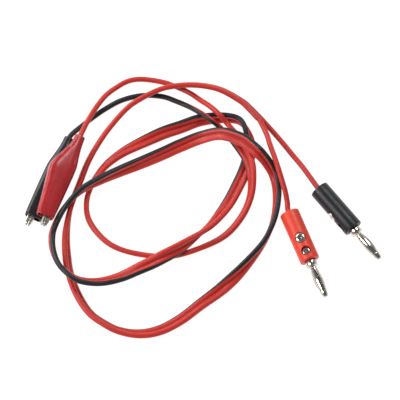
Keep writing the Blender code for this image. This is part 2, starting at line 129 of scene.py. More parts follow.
# twin cable, plugs to clips: x, y, height of its underside, roll (0 = striped lobe on the left)
TWIN_ROUTE = (
    (29.5, 53, 0.6, 238), (25, 58, 0.8, 240), (20, 62.5, 1.3, 241), (10, 68, 2.2, 242),
    (0, 70, 3.1, 243), (-10, 70, 3.3, 245), (-20, 68, 3.3, 248), (-30, 63, 3, 251),
    (-37.5, 58, 1.5, 253), (-45.5, 49, 0, 254), (-52, 39, 0, 254), (-57, 29, 0, 254),
    (-60.5, 19, 0, 254), (-64, 9, 0, 257), (-66, 0, 0, 268), (-67, -10, 0, 284),
    (-66.5, -20, 0, 294), (-65, -29, 0, 296), (-61, -40, 0, 298), (-55, -49.5, 0, 297),
    (-48, -55, 0, 299), (-40, -59, 0, 304), (-30, -60.5, 0, 315), (-20, -58.5, 0, 325),
    (-10, -53, 0, 330), (0, -45, 0, 336), (10, -37, 0, 360), (20, -27.5, 0, 408),
    (30, -15, 0, 447), (35, -5, 0, 458), (37.5, 5, 0, 469), (38, 15, 0.2, 478),
    (36.5, 22.5, 1.6, 484), (33.5, 27, 5, 490), (29.5, 30.5, 9.4, 496), (25, 34.5, 10, 505),
    (20, 38.5, 9.6, 515), (10, 42.5, 7.4, 527), (0, 42.5, 2, 525), (-10, 39, 0, 517),
    (-20, 34, 0.2, 509), (-30, 29, 1, 498), (-40, 23.5, 3.6, 482), (-50, 17.5, 6.6, 465),
    (-60, 11, 8, 445), (-68, 2.5, 6, 433), (-73, -6, 1.6, 431), (-74, -12, 1, 435),
    (-73, -19, 2.8, 444), (-70, -26.5, 5.4, 457), (-65, -32, 6.8, 468), (-59, -35, 5.8, 481),
    (-50, -34.5, 2.3, 493), (-40, -32, 2.5, 507), (-30, -28, 5.3, 527), (-20, -23.5, 7, 556),
    (-10, -18, 6.9, 594), (0, -10, 5, 645), (6, -3.5, 2.2, 668), (13, 7, 0, 699),
    (17.5, 15.5, 0, 709), (22.5, 27, 0, 722), (24.5, 36, 0, 748), (24, 44, 0, 778),
    (20, 51.5, 0, 810), (12, 53.5, 0, 832), (0, 52.5, 0, 852), (-10, 49, 0, 872),
    (-20, 45.5, 0, 889), (-30, 40.5, 0, 914), (-40, 34.5, 0, 940), (-48, 27.5, 0, 957),
    (-54, 18.5, 0, 973), (-57, 9, 0, 985), (-56, -1, 0, 991), (-50, -10, 0, 998),
    (-42, -16, 0, 1005), (-30, -19.5, 0, 1010), (-15, -20.5, 0, 1010), (0, -16, 0, 1011),
    (12, -9.5, 0, 1014), (20, 0, 0, 1012), (24.5, 10, 0.8, 1009), (25.5, 19, 3.4, 1014),
    (24, 28.5, 4.7, 1033), (18.5, 39.5, 3, 1054), (13, 46.5, 3.4, 1064),
)

# single leads between the cable's split and the plug or clip: x, y, height of the underside
LEAD_ROUTES = {
    "red_plug": (
        (33, 43, 5.8), (34.5, 36.5, 8.4), (36.5, 30, 9.4), (38.5, 23.5, 9.2), (40.5, 17, 7.8),
        (42, 12, 6.2), (43, 7, 4.4),
    ),
    "black_plug": ((36, 47, 0.3), (41, 40.5, 0.9), (46, 33.5, 1.6), (51, 26.5, 2.7)),
    "red_clip": (
        (9, 53.5, 7), (4.5, 58.5, 5), (0, 63, 1.8), (-6, 68, 0.2), (-13, 71.5, 0), (-20, 74, 0),
        (-30, 75.5, 0), (-37, 74.5, 0), (-43, 71, 0), (-48, 66.5, 1), (-52, 60.5, 2.8),
        (-55, 54.5, 5), (-57.5, 48.5, 7.4),
    ),
    "black_clip": (
        (5.5, 50, 6.6), (1, 53.5, 6.4), (-3, 57, 4), (-7, 60.5, 0.8), (-13, 63.5, 0),
        (-20, 66, 0), (-30, 66.5, 0), (-40, 64, 0), (-48, 59.5, 0), (-54, 55, 0.2), (-60, 49.5, 1.2),
    ),
}

# dark stripe on a single lead: its middle at the split and at the far end, and its half width, in degrees
# counted from up towards the left
LEAD_STRIPES = {"black_plug": (-105.0, -105.0, 40.0), "black_clip": (125.0, -50.0, 100.0)}


# ---------------------------------------------------------------- camera

VIEW_ELEVATION = 70.0
VIEW_DISTANCE = 1.2
VIEW_TARGET = (0.0, 0.004, 0.0)


def camera():
    """Camera high over the front, far off, with a long lens."""
    data = bpy.data.cameras.new("camera")
    data.lens = 216.0
    data.sensor_width = 36.0
    data.shift_x = -0.0025
    data.shift_y = 0.03
    data.clip_end = 20.0
    item = bpy.data.objects.new("camera", data)
    bpy.context.scene.collection.objects.link(item)
    tilt = math.radians(VIEW_ELEVATION)
    item.location = Vector(VIEW_TARGET) + Vector((0.0, -math.cos(tilt), math.sin(tilt))) * VIEW_DISTANCE
    item.rotation_euler = (math.pi / 2 - tilt, 0.0, 0.0)
    bpy.context.scene.camera = item


camera()


# ---------------------------------------------------------------- node materials

def new_material(name):
    """An empty Principled material: the material, its nodes, a link function and the shader."""
    made = bpy.data.materials.new(name)
    made.use_nodes = True
    tree = made.node_tree
    return made, tree.nodes, tree.links.new, tree.nodes["Principled BSDF"]


def noise(nodes, link, where, scale, detail=3.0, roughness=0.5):
    """A noise texture read at a vector socket; returns its value socket."""
    node = nodes.new("ShaderNodeTexNoise")
    node.inputs["Scale"].default_value = scale
    node.inputs["Detail"].default_value = detail
    node.inputs["Roughness"].default_value = roughness
    link(where, node.inputs["Vector"])
    return node.outputs["Fac"]


def ranged(nodes, link, value, low, high, to_low, to_high):
    """Map a value from low..high to to_low..to_high."""
    node = nodes.new("ShaderNodeMapRange")
    node.inputs["From Min"].default_value = low
    node.inputs["From Max"].default_value = high
    node.inputs["To Min"].default_value = to_low
    node.inputs["To Max"].default_value = to_high
    link(value, node.inputs["Value"])
    return node.outputs["Result"]


def mixed(nodes, link, factor, first, second):
    """Mix two colours, each a tuple or a socket, by a factor socket."""
    node = nodes.new("ShaderNodeMix")
    node.data_type = "RGBA"
    link(factor, node.inputs["Factor"])
    for value, socket in ((first, node.inputs[6]), (second, node.inputs[7])):
        if isinstance(value, tuple):
            socket.default_value = (*value, 1.0)
        else:
            link(value, socket)
    return node.outputs[2]


def multiplied(nodes, link, first, second):
    """Product of two value sockets."""
    node = nodes.new("ShaderNodeMath")
    node.operation = "MULTIPLY"
    link(first, node.inputs[0])
    link(second, node.inputs[1])
    return node.outputs[0]


def bumped(nodes, link, height, strength, distance, shader, below=None):
    """Feed a height to the shader's normal through a bump node."""
    node = nodes.new("ShaderNodeBump")
    node.inputs["Strength"].default_value = strength
    node.inputs["Distance"].default_value = distance
    link(height, node.inputs["Height"])
    if below is not None:
        link(below, node.inputs["Normal"])
    link(node.outputs["Normal"], shader.inputs["Normal"])
    return node.outputs["Normal"]


def uneven_polish(nodes, link, shader, where, scale, low, high):
    """Roughness that drifts from low to high over a noise."""
    value = noise(nodes, link, where, scale, 4.0)
    link(ranged(nodes, link, value, 0.3, 0.7, low, high), shader.inputs["Roughness"])


def object_place(nodes, link, place=None, scale=(1.0, 1.0, 1.0)):
    """Object coordinates, turned into a clip's or plug's own frame when a place is given."""
    coords = nodes.new("ShaderNodeTexCoord")
    result = coords.outputs["Object"]
    if place is not None:
        position, heading, roll = place
        own = nodes.new("ShaderNodeMapping")
        own.vector_type = "TEXTURE"
        own.inputs["Location"].default_value = Vector(position) * MM
        own.inputs["Rotation"].default_value = (math.radians(roll), 0.0, math.radians(heading))
        link(result, own.inputs["Vector"])
        result = own.outputs["Vector"]
    if scale != (1.0, 1.0, 1.0):
        stretch = nodes.new("ShaderNodeMapping")
        stretch.inputs["Scale"].default_value = scale
        link(result, stretch.inputs["Vector"])
        result = stretch.outputs["Vector"]
    return result


def cable_vinyl(name, colour, deep, groove_shade=None):
    """Soft cable jacket: slow colour drift, extrusion grain, and painted shade in the groove between the
    lobes.
    """
    made, nodes, link, shader = new_material(name)
    where = object_place(nodes, link)
    drift = ranged(nodes, link, noise(nodes, link, where, 55.0), 0.35, 0.68, 0.0, 1.0)
    base = mixed(nodes, link, drift, colour, deep)
    # a darker, redder colour is painted into the groove between the lobes as shade, as much as the per-point
    # attribute asks
    if groove_shade is not None:
        mark = nodes.new("ShaderNodeAttribute")
        mark.attribute_name = "groove_shade"
        base = mixed(nodes, link, mark.outputs["Fac"], base, groove_shade)
    link(base, shader.inputs["Base Color"])
    uneven_polish(nodes, link, shader, where, 420.0, 0.33, 0.46)
    bumped(nodes, link, noise(nodes, link, where, 1500.0, 3.0), 0.04, 0.0001, shader)
    shader.inputs["Specular IOR Level"].default_value = 0.42
    return made


def sleeve_vinyl(name, place, colour, deep, streak, body):
    """Glossy dipped sleeve: faintly see-through, with drawn streaks and a slightly uneven skin."""
    made, nodes, link, shader = new_material(name)
    own = object_place(nodes, link, place)
    drift = ranged(nodes, link, noise(nodes, link, own, 90.0), 0.3, 0.7, 0.0, 1.0)
    base = mixed(nodes, link, drift, colour, deep)
    drawn = object_place(nodes, link, place, (60.0, 700.0, 700.0))
    lines = ranged(nodes, link, noise(nodes, link, drawn, 1.0, 2.0), 0.60, 0.70, 0.0, 1.0)
    split = nodes.new("ShaderNodeSeparateXYZ")
    link(own, split.inputs["Vector"])
    shoulder = ranged(nodes, link, split.outputs["X"], -0.008, -0.014, 0.12, 0.9)
    lines = multiplied(nodes, link, lines, shoulder)
    link(mixed(nodes, link, lines, base, streak), shader.inputs["Base Color"])
    uneven_polish(nodes, link, shader, own, 300.0, 0.24, 0.32)
    skin = bumped(nodes, link, noise(nodes, link, own, 80.0, 1.0), 0.08, 0.0004, shader)
    bumped(nodes, link, noise(nodes, link, own, 1700.0, 3.0), 0.02, 0.0001, shader, skin)
    shader.inputs["Subsurface Weight"].default_value = body
    shader.inputs["Subsurface Radius"].default_value = (1.0, 0.25, 0.2)
    shader.inputs["Subsurface Scale"].default_value = 0.0012
    shader.inputs["Specular IOR Level"].default_value = 0.5
    return made


def moulded(name, place, colour, deep, low, high):
    """Moulded handle plastic: satin skin with fine pitting and faint turning lines."""
    made, nodes, link, shader = new_material(name)
    own = object_place(nodes, link, place)
    drift = ranged(nodes, link, noise(nodes, link, own, 120.0), 0.3, 0.7, 0.0, 1.0)
    link(mixed(nodes, link, drift, colour, deep), shader.inputs["Base Color"])
    uneven_polish(nodes, link, shader, own, 500.0, low, high)
    turned_skin = object_place(nodes, link, place, (1600.0, 120.0, 120.0))
    rings = bumped(nodes, link, noise(nodes, link, turned_skin, 1.0, 2.0), 0.03, 0.0001, shader)
    bumped(nodes, link, noise(nodes, link, own, 2400.0, 3.0), 0.04, 0.0001, shader, rings)
    return made


def plated(name, colour, deep, low, high, place=None, scale=(200.0, 2600.0, 2600.0)):
    """Plated metal: drifting tone, uneven polish, and fine lines drawn along one direction."""
    made, nodes, link, shader = new_material(name)
    own = object_place(nodes, link, place)
    drift = ranged(nodes, link, noise(nodes, link, own, 400.0), 0.32, 0.68, 0.0, 1.0)
    link(mixed(nodes, link, drift, colour, deep), shader.inputs["Base Color"])
    uneven_polish(nodes, link, shader, own, 900.0, low, high)
    lines = object_place(nodes, link, place, scale)
    bumped(nodes, link, noise(nodes, link, lines, 1.0, 2.0), 0.03, 0.0001, shader)
    shader.inputs["Metallic"].default_value = 1.0
    return made


# the third colour is the shade painted into the groove between the twin cable's lobes
CABLE_RED = cable_vinyl(
    "cable_red_vinyl", (0.66, 0.040, 0.027), (0.56, 0.030, 0.021), (0.36, 0.006, 0.004),
)
CABLE_BLACK = cable_vinyl("cable_black_vinyl", (0.020, 0.020, 0.023), (0.014, 0.014, 0.017))
COPPER = plated("copper_strand", (0.86, 0.45, 0.28), (0.70, 0.30, 0.17), 0.25, 0.4)
SPRING_STEEL = plated("spring_steel_wire", (0.50, 0.50, 0.51), (0.36, 0.36, 0.38), 0.25, 0.4)


# ---------------------------------------------------------------- mesh helpers

def finished(name, work, materials, smooth_angle=None):
    """Turn bmesh work in metres into a linked object; smooth it up to an angle when one is given."""
    bmesh.ops.recalc_face_normals(work, faces=work.faces)
    data = bpy.data.meshes.new(name)
    work.to_mesh(data)
    work.free()
    for made in materials:
        data.materials.append(made)
    if smooth_angle is not None:
        data.shade_smooth()
        data.set_sharp_from_angle(angle=math.radians(smooth_angle))
    item = bpy.data.objects.new(name, data)
    bpy.context.scene.collection.objects.link(item)
    return item


def skin(rings, closed=False, second_columns=()):
    """Skin equal rings of points (mm); listed columns take the second material."""
    work = bmesh.new()
    loops = [[work.verts.new(Vector(point) * MM) for point in ring] for ring in rings]
    count = len(rings[0])
    spans = list(zip(loops, loops[1:]))
    if closed:
        spans.append((loops[-1], loops[0]))
    for first, second in spans:
        for k in range(count):
            nxt = (k + 1) % count
            face = work.faces.new((first[k], first[nxt], second[nxt], second[k]))
            face.material_index = 1 if k in second_columns else 0
    if not closed:
        work.faces.new(loops[0])
        work.faces.new(loops[-1])
    return work


def turned(name, profile, materials, axis="x", segments=72, closed=False, smooth_angle=35.0):
    """Turn a profile of (along, radius) about an axis."""
    rings = []
    for along_axis, radius in profile:
        ring = []
        for k in range(segments):
            turn = 2.0 * math.pi * (k + 0.5) / segments
            across = (radius * math.cos(turn), radius * math.sin(turn))
            ring.append((along_axis, *across) if axis == "x" else (*across, along_axis))
        rings.append(ring)
    return finished(name, skin(rings, closed), materials, smooth_angle)


def prism(name, outline, low, high, plane, taper=1.0):
    """Prism of an outline in the xy or xz plane, used as a cutter; taper scales its low end."""
    rings = []
    for height, share in ((low, taper), (high, 1.0)):
        if plane == "xy":
            rings.append([(a * share, b * share, height) for a, b in outline])
        else:
            rings.append([(a, height, b) for a, b in outline])
    return finished(name, skin(rings), [])


def cut(target, cutters, smooth_angle=35.0):
    """Subtract the cutters from the target and delete them."""
    for cutter in cutters:
        step = target.modifiers.new("cut", "BOOLEAN")
        step.operation = "DIFFERENCE"
        step.solver = "EXACT"
        step.object = cutter
    baked(target)
    for cutter in cutters:
        bpy.data.objects.remove(cutter, do_unlink=True)
    target.data.shade_smooth()
    target.data.set_sharp_from_angle(angle=math.radians(smooth_angle))


def baked(item):
    """Apply an object's modifiers to its mesh."""
    bpy.context.view_layer.update()
    graph = bpy.context.evaluated_depsgraph_get()
    result = bpy.data.meshes.new_from_object(item.evaluated_get(graph))
    item.modifiers.clear()
    item.data = result


def bevelled(item, width, angle=40.0, segments=2):
    """Round the sharp edges of an object by a width in mm."""
    step = item.modifiers.new("edge", "BEVEL")
    step.width = width * MM
    step.segments = segments
    step.limit_method = "ANGLE"
    step.angle_limit = math.radians(angle)
    step.use_clamp_overlap = True
    baked(item)
    item.data.shade_smooth()
    item.data.set_sharp_from_angle(angle=math.radians(angle))


def place_frame(name):
    """World matrix of a clip or plug, in metres."""
    position, heading, roll = PLACES[name]
    turn = Matrix.Rotation(math.radians(heading), 4, "Z") @ Matrix.Rotation(math.radians(roll), 4, "X")
    return Matrix.Translation(Vector(position) * MM) @ turn


def settle(item, name, offset=0.0, turn=0.0):
    """Move a mesh into a clip's or plug's place; offset slides it along x, turn spins it about x."""
    spin = Matrix.Rotation(math.radians(turn), 4, "X")
    item.data.transform(place_frame(name) @ Matrix.Translation((offset * MM, 0.0, 0.0)) @ spin)


def dress(item, node, body=ROOT):
    """Let a piece ride a body and stand for a CAD node, whose own mesh it hides."""
    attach(item, body)
    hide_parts(node)


# ---------------------------------------------------------------- cable

def smooth_route(points, per_span):
    """Catmull-Rom curve through the route points."""
    rows = [Vector(point) for point in points]
    ends = [2 * rows[0] - rows[1]] + rows + [2 * rows[-1] - rows[-2]]
    result = []
    for i in range(len(rows) - 1):
        before, start, stop, after = ends[i:i + 4]
        for k in range(per_span):
            t = k / per_span
            result.append(0.5 * (
                2 * start + (stop - before) * t
                + (2 * before - 5 * start + 4 * stop - after) * t * t
                + (3 * start - before - 3 * stop + after) * t ** 3
            ))
    result.append(rows[-1])
    return result


def twin_frames(rows):
    """Centre, lobe direction and thickness direction of the twin cable at each row."""
    frames = []
    for i, row in enumerate(rows):
        before = rows[max(0, i - 1)]
        after = rows[min(len(rows) - 1, i + 1)]
        along_cable = Vector((after[0] - before[0], after[1] - before[1], 0.0)).normalized()
        left = Vector((-along_cable.y, along_cable.x, 0.0))
        up = Vector((0.0, 0.0, 1.0))
        roll = math.radians(row[3])
        rise = math.sqrt(math.sin(roll) ** 2 + 0.01)
        centre = Vector((row[0], row[1], max(row[2], 0.0) + WIRE_DIA / 2 + LOBE_SPACING / 2 * rise))
        wide = left * math.cos(roll) + up * math.sin(roll)
        thick = up * math.cos(roll) - left * math.sin(roll)
        frames.append((centre, wide, thick))
    return frames


def twin_section():
    """Fine outline of the twin cable: points, strengths of the painted groove shade, and the columns of the
    stripe.
    """
    radius = WIRE_DIA / 2
    half = LOBE_SPACING / 2
    outline, groove_shades, stripe = [], [], []
    for side in (1, -1):
        for turn in range(-90, 91, LOBE_STEP):
            if side == 1 and -STRIPE_HALF <= turn < STRIPE_HALF:
                stripe.append(len(outline))
            angle = math.radians(turn)
            outline.append((side * (half + radius * math.cos(angle)), side * radius * math.sin(angle)))
            groove_shades.append(0.0)
        # the third number of each shoulder point is how much painted shade it gets
        for across, high, depth in (*SHOULDER, *((-a, b, c) for a, b, c in reversed(SHOULDER[:-1]))):
            outline.append((side * across, side * high))
            groove_shades.append(depth)
    return outline, groove_shades, stripe


def twin_cable():
    """The flat twin cable with its dark stripe, as one fine swept mesh."""
    outline, groove_shades, stripe = twin_section()
    frames = twin_frames(smooth_route(TWIN_ROUTE, CABLE_STEPS))
    rings = [[centre + wide * a + thick * b for a, b in outline] for centre, wide, thick in frames]
    swept = skin(rings, second_columns=set(stripe))
    item = finished("twin_cable_detail", swept, [CABLE_RED, CABLE_BLACK], 60.0)
    # per-point strength of the shade painted into the groove
    mark = item.data.attributes.new("groove_shade", "FLOAT", "POINT")
    mark.data.foreach_set("value", groove_shades * len(rings))
    dress(item, "twin_cable")


def split_point(at_plugs, striped):
    """Where a single lead leaves the end of the twin cable."""
    frames = twin_frames(smooth_route(TWIN_ROUTE, SPLIT_STEPS))
    end, inner = (0, 1) if at_plugs else (-1, -2)
    centre, wide, _ = frames[end]
    outward = (centre - frames[inner][0]).normalized()
    side = 1 if striped else -1
    return centre + wide * (side * LOBE_SPACING / 2) - outward * LEAD_OVERLAP, outward


def lead_path(part):
    """Centre line of a single lead, from the cable's split into its plug or clip."""
    start, outward = split_point("plug" in part, "black" in part)
    run = PLUG_LEAD_RUN if "plug" in part else CLIP_LEAD_RUN
    path = [start, start + outward * (LEAD_OVERLAP + run)]
    radius = Vector((0.0, 0.0, WIRE_DIA / 2))
    path += [Vector(point) + radius for point in LEAD_ROUTES[part]]
    ends = (-1.5, 4.0, PLUG_WIRE_END) if "plug" in part else (-32.0, -28.0, WIRE_END_X)
    path += [place_frame(part) @ Vector((x * MM, 0.0, 0.0)) / MM for x in ends]
    result = smooth_route(path, LEAD_STEPS)
    for point in result:
        point.z = max(point.z, WIRE_DIA / 2)
    return result


def wire_rings(path, radius, segments, spins=None):
    """Rings round a path, each counted from up towards the left of travel, then spun by its own angle."""
    rings = []
    for i, point in enumerate(path):
        travel = (path[min(i + 1, len(path) - 1)] - path[max(i - 1, 0)]).normalized()
        left = Vector((-travel.y, travel.x, 0.0)).normalized()
        top = travel.cross(left).normalized() * -1
        if top.z < 0:
            top = -top
        ring = []
        for k in range(segments):
            turn = (spins[i] if spins else 0.0) + 2 * math.pi * k / segments
            ring.append(point + (top * math.cos(turn) + left * math.sin(turn)) * radius)
        rings.append(ring)
    return rings


def single_lead(part):
    """One wire of the pair, with its own dark stripe where it carries one."""
    path = lead_path(part)
    columns = set()
    first, last, half = LEAD_STRIPES.get(part, (0.0, 0.0, 0.0))
    for k in range(LEAD_SEGMENTS):
        away = ((k + 0.5) * 360 / LEAD_SEGMENTS + 180) % 360 - 180
        if abs(away) < half:
            columns.add(k)
    spins = [math.radians(first + (last - first) * i / (len(path) - 1)) for i in range(len(path))]
    rings = wire_rings(path, WIRE_DIA / 2 - 0.005, LEAD_SEGMENTS, spins)
    swept = skin(rings, second_columns=columns)
    item = finished(part + "_lead_detail", swept, [CABLE_RED, CABLE_BLACK], 60.0)
    # a single lead has no groove, so it gets no painted shade
    mark = item.data.attributes.new("groove_shade", "FLOAT", "POINT")
    mark.data.foreach_set("value", [0.0] * len(item.data.vertices))
    dress(item, part + "_lead")


twin_cable()
for lead_part in LEAD_ROUTES:
    single_lead(lead_part)


# ---------------------------------------------------------------- clips

def along(table, x):
    """Straight-line reading of a table of (x, value)."""
    if x <= table[0][0]:
        return table[0][1]
    for (x0, v0), (x1, v1) in zip(table, table[1:]):
        if x <= x1:
            return v0 + (v1 - v0) * (x - x0) / (x1 - x0)
    return table[-1][1]


def tooth(x):
    """Height of the zigzag bite line at x."""
    if x < TEETH_START:
        return 0.0
    share = ((x - TEETH_START) / TOOTH_PITCH) % 1.0
    return TOOTH_HEIGHT * (1.0 - abs(2.0 * share - 1.0)) - TOOTH_HEIGHT / 2


def ear(x):
    """Half-round ear height at x."""
    return math.sqrt(max(0.0, EAR_RADIUS ** 2 - x * x))


def jaw_stations(start):
    """x positions of a jaw's sections: even ones behind, and two for each tooth in front."""
    length = -PIVOT_CLEAR - start
    count = int(length / SECTION_PITCH) + 1
    behind = [start + length * k / count for k in range(count + 1)]
    pivot = [-EAR_RADIUS * math.cos(math.pi * k / 16) for k in range(17)]
    teeth = []
    x = TEETH_START
    while x < JAW_TIP_X - 0.4:
        teeth.append(x)
        x += TOOTH_PITCH / 2
    return behind + pivot + [PIVOT_CLEAR, 3.4, 4.2] + teeth + [JAW_TIP_X]


def channel(name, stations, floor, edge, half_width, side, made_of):
    """A folded channel with rounded folds: floor at side * floor(x), walls reaching to edge(x)."""
    rings = []
    for x in stations:
        outer = half_width(x)
        inner = outer - SHEET
        low = side * floor(x)
        top = edge(x)
        inside = low - side * SHEET
        fold = [(0.0, 0.5), (0.15, 0.15), (0.5, 0.0)]
        near = [(x, low - side * b, -(outer - a)) for a, b in reversed(fold)]
        far = [(x, low - side * b, outer - a) for a, b in fold]
        rings.append(
            near + [(x, top, -outer), (x, top, -inner), (x, inside, -inner),
                    (x, inside, inner), (x, top, inner), (x, top, outer)] + far
        )
    item = finished(name, skin(rings), [made_of], 35.0)
    pin_hole = turned("pin_hole", ((-4.0, PIN_RADIUS + 0.12), (4.0, PIN_RADIUS + 0.12)), [], "z", 32)
    cut(item, [pin_hole])
    bevelled(item, 0.07)
    return item


def base_jaw(part, made_of):
    """Fixed jaw: crimp tail, pivot ears and lower teeth in one folded channel."""
    floor = ((CRIMP_START_X, 1.3), (-14.0, 1.5), (-6.0, 2.6), (6.0, 2.6), (18.6, 1.75), (JAW_TIP_X, 1.35))
    width = (
        (CRIMP_START_X, 1.4), (-14.0, 1.6), (-6.0, BASE_HALF_WIDTH), (2.6, BASE_HALF_WIDTH),
        (6.0, NOSE_HALF_WIDTH), (18.6, 1.7), (JAW_TIP_X, TIP_HALF_WIDTH - 0.1),
    )
    wall = (
        (CRIMP_START_X, 0.9), (-16.0, 0.9), (-14.0, -0.6), (-11.6, -1.2), (-6.0, -1.6),
        (-2.6, -1.2), (2.6, -0.6), (4.2, -0.3),
    )

    def edge(x):
        if abs(x) <= EAR_RADIUS:
            return max(along(wall, x), ear(x))
        if x >= TEETH_START:
            return tooth(x) - BITE_GAP / 2 - 0.1
        return along(wall, x)

    return channel(
        part + "_base_jaw_detail", jaw_stations(CRIMP_START_X), lambda x: along(floor, x), edge,
        lambda x: along(width, x), -1, made_of,
    )


def lever_jaw(part, made_of):
    """Moving jaw: upper teeth in front, thumb lever behind the pivot."""
    roof = (
        (LEVER_END_X, 6.1), (-9.5, 6.1), (-4.0, 4.4), (0.0, 3.0), (6.0, 2.6), (18.6, 1.75), (JAW_TIP_X, 1.35),
    )
    width = (
        (LEVER_END_X, LEVER_HALF_WIDTH), (2.6, LEVER_HALF_WIDTH), (6.0, NOSE_HALF_WIDTH), (18.6, 1.7),
        (JAW_TIP_X, TIP_HALF_WIDTH - 0.1),
    )
    wall = ((LEVER_END_X, 5.2), (-9.5, 4.9), (-4.0, 2.6), (-2.6, 1.4), (2.6, 0.9), (4.2, 0.5))

    def edge(x):
        if abs(x) <= EAR_RADIUS:
            return min(along(wall, x), -ear(x))
        if x >= TEETH_START:
            return tooth(x) + BITE_GAP / 2 + 0.1
        return along(wall, x)

    return channel(
        part + "_lever_jaw_detail", jaw_stations(LEVER_END_X), lambda x: along(roof, x), edge,
        lambda x: along(width, x), 1, made_of,
    )


def pivot_pin(part, made_of):
    """Rivet through the ears with domed heads."""
    under = BASE_HALF_WIDTH + 0.1
    head = [(0.0, 1.3), (0.1, 1.28), (0.2, 1.1), (0.27, 0.75), (0.3, 0.3)]
    profile = [(-(under + a), r) for a, r in reversed(head)]
    profile += [(-under, PIN_RADIUS), (under, PIN_RADIUS)]
    profile += [(under + a, r) for a, r in head]
    return turned(part + "_pivot_pin_detail", profile, [made_of], "z", 40)


def tube(name, path, radius, made_of, segments=10):
    """A round wire along a path in any direction, carried by a parallel frame."""
    rings = []
    side = None
    for i, point in enumerate(path):
        travel = (path[min(i + 1, len(path) - 1)] - path[max(i - 1, 0)]).normalized()
        if side is None:
            side = travel.orthogonal().normalized()
        side = (side - travel * side.dot(travel)).normalized()
        other = travel.cross(side)
        ring = []
        for k in range(segments):
            turn = 2 * math.pi * k / segments
            ring.append(point + (side * math.cos(turn) + other * math.sin(turn)) * radius)
        rings.append(ring)
    return finished(name, skin(rings), [made_of], 60.0)


def torsion_spring(part):
    """Coil round the pin; one leg lies on the base, the other under the lever."""
    radius, turns, steps = 1.3, 3.5, 24
    half = 0.85
    path = [Vector((-7.0, -1.9, -half)), Vector((-5.0, -1.88, -half)), Vector((-3.0, -1.85, -half))]
    count = int(turns * steps)
    for k in range(count + 1):
        turn = -math.pi / 2 + 2 * math.pi * k / steps
        path.append(Vector((radius * math.cos(turn), radius * math.sin(turn), -half + 2 * half * k / count)))
    path += [Vector((-3.0, 2.7, half)), Vector((-5.0, 3.65, half)), Vector((-7.0, 4.6, half))]
    return tube(part + "_torsion_spring_detail", path, 0.2, SPRING_STEEL)


def copper_core(part, start, stop):
    """Twisted strands of the bared wire end."""
    work = bmesh.new()
    strands, segments, steps = 7, 8, 24
    for strand in range(strands):
        path = []
        for k in range(steps + 1):
            x = start + (stop - start) * k / steps
            away = 0.0 if strand == 0 else 0.4
            turn = 2 * math.pi * strand / (strands - 1) + 1.2 * math.pi * k / steps
            path.append(Vector((x, away * math.cos(turn), away * math.sin(turn))))
        rings = wire_rings(path, 0.19, segments)
        loops = [[work.verts.new(point * MM) for point in ring] for ring in rings]
        for first, second in zip(loops, loops[1:]):
            for k in range(segments):
                nxt = (k + 1) % segments
                work.faces.new((first[k], first[nxt], second[nxt], second[k]))
        work.faces.new(loops[0])
        work.faces.new(loops[-1])
    return finished(part + "_copper_core_detail", work, [COPPER], 60.0)


SLEEVE_STATIONS = (
    (-29.8, -2.65, 2.65, 2.5, 2.2), (-27.0, -2.7, 2.8, 2.5, 2.3), (-23.5, -2.9, 3.6, 2.7, 2.6),
    (-19.0, -3.5, 5.5, 3.0, 3.0), (-14.0, -4.3, 7.7, 3.4, 3.4), (-10.6, -4.4, 8.7, 3.6, 3.6),
    (-8.0, -4.4, 8.6, 3.65, 3.6), (-2.0, -4.2, 7.8, 3.65, 3.6), (5.0, -3.95, 6.8, 3.5, 3.6),
    (11.0, -3.7, 6.05, 3.35, 3.5), (16.0, -3.4, 5.4, 3.2, 3.4),
)


def sleeve_ring(station, inset, shift=0.0, segments=72):
    """Rounded-box ring of a sleeve at a station of (x, low, high, half width, squareness)."""
    x, low, high, half, power = station
    centre = (low + high) / 2
    reach = (high - low) / 2 - inset
    ring = []
    for k in range(segments):
        turn = 2 * math.pi * (k + 0.5) / segments
        c, s = math.cos(turn), math.sin(turn)
        y = centre + reach * math.copysign(abs(c) ** (2 / power), c)
        z = (half - inset) * math.copysign(abs(s) ** (2 / power), s)
        ring.append((x + shift, y, z))
    return ring


def sleeve(part, made_of):
    """Soft sleeve over the whole clip, with rounded lips, open at the wire and at the jaws."""
    stations = [tuple(row) for row in smooth_route_nd(SLEEVE_STATIONS, 5)]
    rings = [sleeve_ring(stations[0], 0.30, 0.0), sleeve_ring(stations[0], 0.10, 0.04)]
    rings += [sleeve_ring(station, 0.0, 0.2 if k == 0 else 0.0) for k, station in enumerate(stations[:-1])]
    rings += [sleeve_ring(stations[-1], 0.0, -0.2), sleeve_ring(stations[-1], 0.10, -0.04)]
    rings += [sleeve_ring(stations[-1], 0.30, 0.0)]
    for station in reversed(stations):
        wall = 0.85 if station[0] < -26.0 else SLEEVE_WALL
        rings.append(sleeve_ring(station, wall))
    return finished(part + "_sleeve_detail", skin(rings, closed=True), [made_of], 50.0)


def smooth_route_nd(rows, per_span):
    """Catmull-Rom reading of rows of any length."""
    ends = [[2 * a - b for a, b in zip(rows[0], rows[1])]] + [list(row) for row in rows]
    ends.append([2 * a - b for a, b in zip(rows[-1], rows[-2])])
    result = []
    for i in range(len(rows) - 1):
        for k in range(per_span):
            t = k / per_span
            result.append([
                0.5 * (
                    2 * b + (c - a) * t + (2 * a - 5 * b + 4 * c - d) * t * t
                    + (3 * b - a - 3 * c + d) * t ** 3
                )
                for a, b, c, d in zip(*ends[i:i + 4])
            ])
    result.append(list(rows[-1]))
    return result


